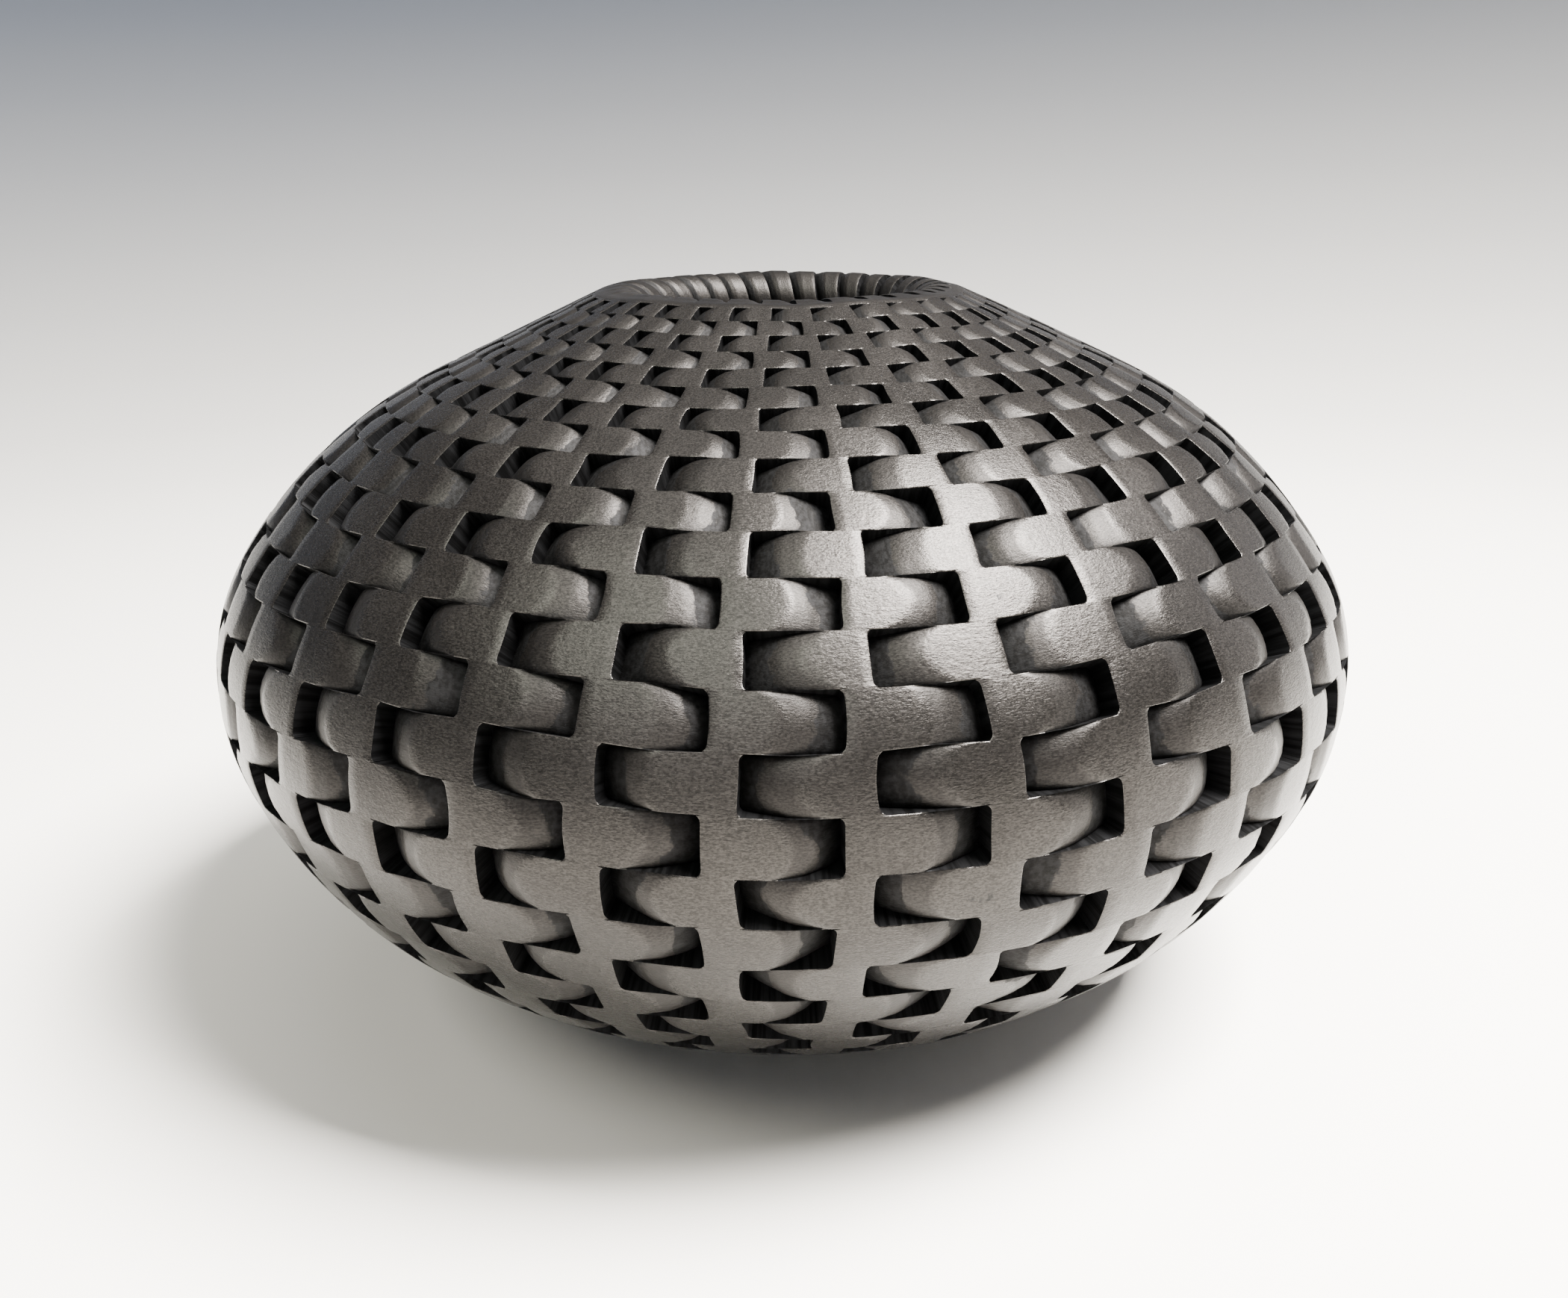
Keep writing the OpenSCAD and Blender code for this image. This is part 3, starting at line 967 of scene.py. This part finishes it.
class POT_OT_foot_ring(bpy.types.Operator):
    """Build the low ring that the pot stands on"""
    bl_idname = "pot.foot_ring"
    bl_label = "Foot Ring"

    def execute(self, context):
        p = settings()[0]
        outer, inner = FOOT_RADIUS, FOOT_RADIUS - 2 * p.foot_slant - p.foot_width
        soft = FOOT_SOFTNESS
        # Each edge of the resting face is two short bevels
        outline = [
            (outer, FOOT_HEIGHT),
            (outer - p.foot_slant + soft * 0.2, soft),
            (outer - p.foot_slant - soft * 0.4, soft * 0.2),
            (outer - p.foot_slant - soft, 0),
            (inner + p.foot_slant + soft, 0),
            (inner + p.foot_slant + soft * 0.4, soft * 0.2),
            (inner + p.foot_slant - soft * 0.2, soft),
            (inner, FOOT_HEIGHT),
        ]
        place_piece(lathed("foot_ring_turned", outline), "foot_ring", bare_clay())
        return {"FINISHED"}


class POT_OT_floor_slab(bpy.types.Operator):
    """Build the flat slab that closes the bottom"""
    bl_idname = "pot.floor_slab"
    bl_label = "Floor Slab"

    def execute(self, context):
        p = settings()[0]
        profile = Profile(p)
        top = float(profile.sunk(profile.end, p.wall)[1])
        rings = np.linspace(p.slab_radius, 0, 12)[:-1]
        outline = [(0, top)] + [(r, top) for r in rings[::-1]]
        outline += [(FOOT_RADIUS, FOOT_HEIGHT), (0, FOOT_HEIGHT)]
        place_piece(lathed("floor_slab_rolled", outline), "floor_slab", bare_clay())
        return {"FINISHED"}


class POT_OT_lower_bowl_coil(bpy.types.Operator):
    """Build the lowest coil, carved above and plain down to the foot"""
    bl_idname = "pot.lower_bowl_coil"
    bl_label = "Lower Bowl Coil"

    def execute(self, context):
        build_coil("lower_bowl_coil", LOWER_BOWL_TOP, settings()[1].rows)
        return {"FINISHED"}


class POT_OT_upper_bowl_coil(bpy.types.Operator):
    """Build the carved coil under the belly"""
    bl_idname = "pot.upper_bowl_coil"
    bl_label = "Upper Bowl Coil"

    def execute(self, context):
        build_coil("upper_bowl_coil", UPPER_BOWL_TOP, LOWER_BOWL_TOP)
        return {"FINISHED"}


class POT_OT_lower_belly_coil(bpy.types.Operator):
    """Build the carved coil just under the widest part"""
    bl_idname = "pot.lower_belly_coil"
    bl_label = "Lower Belly Coil"

    def execute(self, context):
        build_coil("lower_belly_coil", LOWER_BELLY_TOP, UPPER_BOWL_TOP)
        return {"FINISHED"}


class POT_OT_upper_belly_coil(bpy.types.Operator):
    """Build the carved coil round the widest part"""
    bl_idname = "pot.upper_belly_coil"
    bl_label = "Upper Belly Coil"

    def execute(self, context):
        build_coil("upper_belly_coil", UPPER_BELLY_TOP, LOWER_BELLY_TOP)
        return {"FINISHED"}


class POT_OT_lower_shoulder_coil(bpy.types.Operator):
    """Build the carved coil above the belly"""
    bl_idname = "pot.lower_shoulder_coil"
    bl_label = "Lower Shoulder Coil"

    def execute(self, context):
        build_coil("lower_shoulder_coil", LOWER_SHOULDER_TOP, UPPER_BELLY_TOP)
        return {"FINISHED"}


class POT_OT_upper_shoulder_coil(bpy.types.Operator):
    """Build the carved coil under the neck"""
    bl_idname = "pot.upper_shoulder_coil"
    bl_label = "Upper Shoulder Coil"

    def execute(self, context):
        build_coil("upper_shoulder_coil", UPPER_SHOULDER_TOP, LOWER_SHOULDER_TOP)
        return {"FINISHED"}


class POT_OT_neck_coil(bpy.types.Operator):
    """Build the carved coil that slopes up to the lip"""
    bl_idname = "pot.neck_coil"
    bl_label = "Neck Coil"

    def execute(self, context):
        build_coil("neck_coil", NECK_TOP, UPPER_SHOULDER_TOP)
        return {"FINISHED"}


LIP_RINGS = 34              # rings of the lip's outside, from the throat to the first row line
FLUTE_END = 1.2 * MM        # place down the wall where the flutes have faded out
FLUTE_FULL = -5 * MM        # and where they have their full depth
FLUTE_TURN = 0.5            # how far the flutes turn aside on their way down, in pitches
FLUTE_TURN_START = -2 * MM  # where they begin to
FLUTE_HOLLOW = 1.4          # how hollow a flute counts for its depth; its deep part is painted black as painted shade
LIP_DULLNESS = 0.07         # and how hollow the lip looks between them
LIP_WEAR = 0.6              # how far the flutes' edges are rubbed and painted paler, wear and a painted highlight
LINE_FADE = 3 * MM          # run up the lip over which the first row line's waves die out
HAND_FADE = 6 * MM          # and the wall's unevenness
LIP_SAG = 0.70 * MM         # mean sag of the lip
LIP_SAG_SWING = 0.45 * MM   # further sag at the front, and as much less at the back
SAG_END = 3.2 * MM          # place down the wall from which the clay doesn't sag
SAG_FULL = -1.5 * MM        # and above which it sags wholly
UNDERCUT = 0.4 * MM         # how far the lip's underside lies out and down from the throat


class POT_OT_lip_coil(bpy.types.Operator):
    """Build the rolled lip with its flutes"""
    bl_idname = "pot.lip_coil"
    bl_label = "Lip Coil"

    def execute(self, context):
        p, weave, _ = settings()
        profile = Profile(p)
        layout = Weave(profile, weave)
        kinds = layout.column_places()
        x = carved_band(layout, 1, -hand_of(1))["x"][:1]
        s = np.linspace(profile.top, layout.lines[0], LIP_RINGS)[:, None]
        rings = (LIP_RINGS, x.shape[1])
        # Flutes: pockets deep on the right that run over the lip and fade out above row one
        places = np.broadcast_to(x, rings).reshape(LIP_RINGS, layout.n, len(kinds))
        edge = place_of(kinds, "right_edge")
        t = np.clip((places[:, :, edge:edge + 1] - places) / weave.pocket_run, 0, 1)
        fluted = np.arange(len(kinds)) <= place_of(kinds, "right_foot")
        radius = profile.outer(s)[0][..., None]
        deep = weave.flute_depth * 2 * math.pi * radius / layout.n
        fade = smooth_step(s, FLUTE_END, FLUTE_FULL)[..., None]
        rim = np.broadcast_to(kinds == "right_edge", places.shape)
        depth = np.where(fluted, deep * strand(t), 0)
        depth = np.where(rim, weave.edge_wear, depth) * fade
        hollow = np.clip(FLUTE_HOLLOW * depth / deep + LIP_DULLNESS, 0, 1)
        wear_and_highlight = LIP_WEAR * rim * fade
        # The flutes turn to one side on their way down into the throat
        line = layout.line_at(0, x)
        x = x - FLUTE_TURN * np.clip((FLUTE_TURN_START - s) / profile.lip_roll_run, 0, 1)
        s = s + (line - layout.lines[0]) * np.clip(1 + s / LINE_FADE, 0, 1)
        grid = dict(
            x=x, s=s, row=np.ones(rings), depth=depth.reshape(rings),
            hollow=hollow.reshape(rings), wear_and_highlight=wear_and_highlight.reshape(rings), painted_shade=np.zeros(rings))
        joint = stack_bands(layout, NECK_TOP, NECK_TOP + 1)
        grid = {key: np.concatenate([value[:-1], joint[key][:1]]) for key, value in grid.items()}
        joint_end = layout.lines[0] + weave.joint_lap
        piece = lip_piece("lip_coil_rolled", profile, grid, layout.n, joint_end)
        place_piece(piece, "lip_coil", burnished_clay())
        return {"FINISHED"}


def lip_piece(name, profile, grid, columns, joint_end):
    """The lip's closed section: its fluted outside, the joint face, then its underside, a
    straight run from the joint's inner end to the bottom of the throat. The lip sags under its
    own weight, by the mean sag less the swing times the sine of the turn: most at the front."""
    turn = turn_at(grid["x"], grid["row"], columns)
    depth = grid["depth"] - hand_built(turn, grid["s"]) * np.clip(1 + grid["s"] / HAND_FADE, 0, 1)
    r, z = profile.sunk(grid["s"], depth)
    sag = LIP_SAG - LIP_SAG_SWING * np.sin(turn)
    z = z - sag * smooth_step(grid["s"], SAG_END, SAG_FULL)
    outer = rounded(turn, r, z)
    corner_r, corner_z = profile.sunk(grid["s"][-1:], profile.p.wall * settings()[1].joint_step)
    joint_r, joint_z = profile.sunk(joint_end, profile.p.wall)
    share = np.linspace(0, 1, 6)[:-1, None]
    under_r = joint_r + (r[:1] + UNDERCUT - joint_r) * share
    under_z = joint_z + (z[:1] - UNDERCUT - joint_z) * share
    share = np.concatenate([[[0]], share])
    under_turn = turn[-1:] + (turn[:1] - turn[-1:]) * share
    under = rounded(
        under_turn, np.concatenate([corner_r, under_r]), np.concatenate([corner_z, under_z]))
    points = np.concatenate([outer, under])
    under_s = np.full(under_turn.shape, UNDERSIDE_GRAIN)
    return carved_piece(name, points, grid, turn, under_turn, under_s, MOUTH_RADIUS)


class POT_OT_studio(bpy.types.Operator):
    """Set up the floor, the lights and the camera"""
    bl_idname = "pot.studio"
    bl_label = "Studio"

    def execute(self, context):
        build_floor()
        build_lights()
        build_world()
        build_camera()
        return {"FINISHED"}


SWEEP_FLAT = 0.7             # radius of the level part of the sweep
SWEEP_BEND = 1.5             # radius of the curve that lifts it into a wall
SWEEP_TOP = 3.0              # height of the wall
FALLOFF_CENTRE = (0.22, 0, 0)   # the brightest place on the sweep, where its painted light falloff is centred
FALLOFF_REACH = 2.07            # distance from it at which the painted falloff leaves the sweep darkest
ROOM_STRENGTH = 0.55         # strength of the room's soft light
LIT_POINT = (0, 0, 0.08)     # where all the lights aim


def build_floor():
    """A studio sweep all round the pot: a level disc whose rim curves up into a round wall.

    Its outline is level to the flat radius, then a quarter circle, then upright."""
    steps = 128
    bend = np.linspace(0, math.pi / 2, 17)
    level = np.array([0.25, 0.5])
    radius = np.concatenate([level, SWEEP_FLAT + SWEEP_BEND * np.sin(bend), [SWEEP_FLAT + SWEEP_BEND]])
    height = np.concatenate([0 * level, SWEEP_BEND * (1 - np.cos(bend)), [SWEEP_TOP]])
    turn = np.linspace(0, 2 * math.pi, steps, endpoint=False)
    sweep = rounded(turn[None, :], radius[:, None] + 0 * turn, height[:, None] + 0 * turn)
    index = np.arange(len(radius) * steps).reshape(-1, steps)
    right = np.roll(index, -1, axis=1)
    quads = np.stack([index[:-1], index[1:], right[1:], right[:-1]], axis=-1).reshape(-1, 4)
    points = np.concatenate([sweep.reshape(-1, 3), [[0, 0, 0]]])
    middle = np.stack([index[0], right[0], np.full(steps, len(points) - 1)], axis=-1)
    mesh = bpy.data.meshes.new("studio_floor")
    mesh.from_pydata(points.tolist(), [], quads.tolist() + middle.tolist())
    mesh.update()
    mesh.shade_smooth()
    mesh.materials.append(studio_floor())
    floor = bpy.data.objects.new("studio_floor", mesh)
    bpy.context.scene.collection.objects.link(floor)


def aimed(origin, target):
    """A matrix at origin whose -Z axis points at target."""
    direction = Vector(target) - Vector(origin)
    return Matrix.Translation(origin) @ direction.to_track_quat("-Z", "Y").to_matrix().to_4x4()


def area_light(name, origin, size, power, color):
    """A soft box of the given width and height, aimed at the pot."""
    data = bpy.data.lights.new(name, "AREA")
    data.shape = "RECTANGLE"
    data.size, data.size_y = size
    data.energy = power
    data.color = color
    light = bpy.data.objects.new(name, data)
    light.matrix_world = aimed(origin, LIT_POINT)
    light.visible_camera = False
    bpy.context.scene.collection.objects.link(light)
    return light


def build_lights():
    """A soft box above, to the right and a little to the front, and weak ones: high overhead and
    low on the right. Two more give sheen only, from the camera's side, and two wash the floor."""
    area_light("key_box", (0.46, -0.18, 0.97), (0.58, 0.46), 148, (1.0, 0.955, 0.91))
    area_light("top_panel", (0.0, 0.2, 1.7), (1.5, 1.3), 12, (1.0, 0.98, 0.93))
    area_light("right_fill", (1.25, 0.35, 0.65), (0.9, 0.8), 3, (1.0, 0.96, 0.97))
    sheen = [
        area_light("front_sheen", (-0.25, -1.35, 0.95), (1.3, 0.8), 12, (1.0, 0.96, 0.93)),
        area_light("left_sheen", (-0.34, -0.60, 1.06), (0.9, 0.6), 17, (0.95, 1.0, 0.88)),
    ]
    wash = [
        area_light("front_wash", (-0.25, -1.35, 0.95), (1.3, 0.8), 3, (1.0, 0.97, 0.92)),
        area_light("left_wash", (-0.85, -0.40, 0.95), (0.7, 0.6), 12, (1.0, 0.97, 0.86)),
    ]
    for light in sheen:
        light.visible_diffuse = False
    for light in wash:
        light.visible_glossy = False


def build_world():
    """Soft light of the room."""
    world = bpy.data.worlds.get("studio_room") or bpy.data.worlds.new("studio_room")
    bpy.context.scene.world = world
    world.use_nodes = True
    tree = world.node_tree
    tree.nodes.clear()
    output = tree.nodes.new("ShaderNodeOutputWorld")
    background = tree.nodes.new("ShaderNodeBackground")
    background.inputs["Color"].default_value = (*settings()[2].room_color, 1)
    background.inputs["Strength"].default_value = ROOM_STRENGTH
    tree.links.new(background.outputs["Background"], output.inputs["Surface"])


CAMERA_DISTANCE = 350.7 * MM     # level distance from the pot's axis
CAMERA_HEIGHT = 182.2 * MM       # above the surface the pot stands on
CAMERA_PITCH = 0.3055            # looks down by this angle
CAMERA_YAW = 0.0011
CAMERA_ROLL = -0.0103
LENS_SHARE = 0.98196             # focal length over the picture's width


def build_camera():
    """A camera in front of the pot, a little above its mouth, looking slightly down."""
    data = bpy.data.cameras.new("studio_camera")
    data.sensor_width = 36
    data.lens = LENS_SHARE * data.sensor_width
    data.clip_start = 0.01
    camera = bpy.data.objects.new("studio_camera", data)
    cos_p, sin_p = math.cos(CAMERA_PITCH), math.sin(CAMERA_PITCH)
    cos_y, sin_y = math.cos(CAMERA_YAW), math.sin(CAMERA_YAW)
    ahead = np.array([sin_y * cos_p, cos_y * cos_p, -sin_p])
    right = np.array([cos_y, -sin_y, 0])
    up = np.cross(right, ahead)
    cos_r, sin_r = math.cos(CAMERA_ROLL), math.sin(CAMERA_ROLL)
    x_axis = cos_r * right + sin_r * up
    y_axis = -sin_r * right + cos_r * up
    matrix = np.eye(4)
    matrix[:3, 0], matrix[:3, 1], matrix[:3, 2] = x_axis, y_axis, -ahead
    matrix[:3, 3] = (0, -CAMERA_DISTANCE, CAMERA_HEIGHT)
    camera.matrix_world = Matrix(matrix.tolist())
    bpy.context.scene.collection.objects.link(camera)
    bpy.context.scene.camera = camera


# ---------------------------------------------------------------------------------------------
# Panel and registration
# ---------------------------------------------------------------------------------------------

OPERATORS = [
    POT_OT_studio, POT_OT_foot_ring, POT_OT_floor_slab, POT_OT_lower_bowl_coil,
    POT_OT_upper_bowl_coil, POT_OT_lower_belly_coil, POT_OT_upper_belly_coil,
    POT_OT_lower_shoulder_coil, POT_OT_upper_shoulder_coil, POT_OT_neck_coil, POT_OT_lip_coil,
]


class POT_PT_panel(bpy.types.Panel):
    """Settings and build steps of the pot"""
    bl_label = "Carved Pot"
    bl_space_type = "VIEW_3D"
    bl_region_type = "UI"
    bl_category = "Pot"

    def draw(self, context):
        layout = self.layout
        for title, group in zip(("Profile", "Weave", "Finish"), settings()):
            box = layout.box()
            box.label(text=title)
            for key in group.__annotations__:
                box.prop(group, key)
        for operator in OPERATORS:
            layout.operator(operator.bl_idname)


GROUPS = {
    "pot_profile": PotProfileSettings,
    "pot_weave": PotWeaveSettings,
    "pot_finish": PotFinishSettings,
}


def register():
    for name, group in GROUPS.items():
        bpy.utils.register_class(group)
        setattr(bpy.types.Scene, name, PointerProperty(type=group))
    for cls in OPERATORS + [POT_PT_panel]:
        bpy.utils.register_class(cls)


def unregister():
    for cls in reversed(OPERATORS + [POT_PT_panel]):
        bpy.utils.unregister_class(cls)
    for name, group in reversed(GROUPS.items()):
        delattr(bpy.types.Scene, name)
        bpy.utils.unregister_class(group)


def main():
    """Registers the add-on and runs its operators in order."""
    register()
    for operator in OPERATORS:
        group, name = operator.bl_idname.split(".")
        getattr(getattr(bpy.ops, group), name)()


if __name__ == "__main__":
    main()
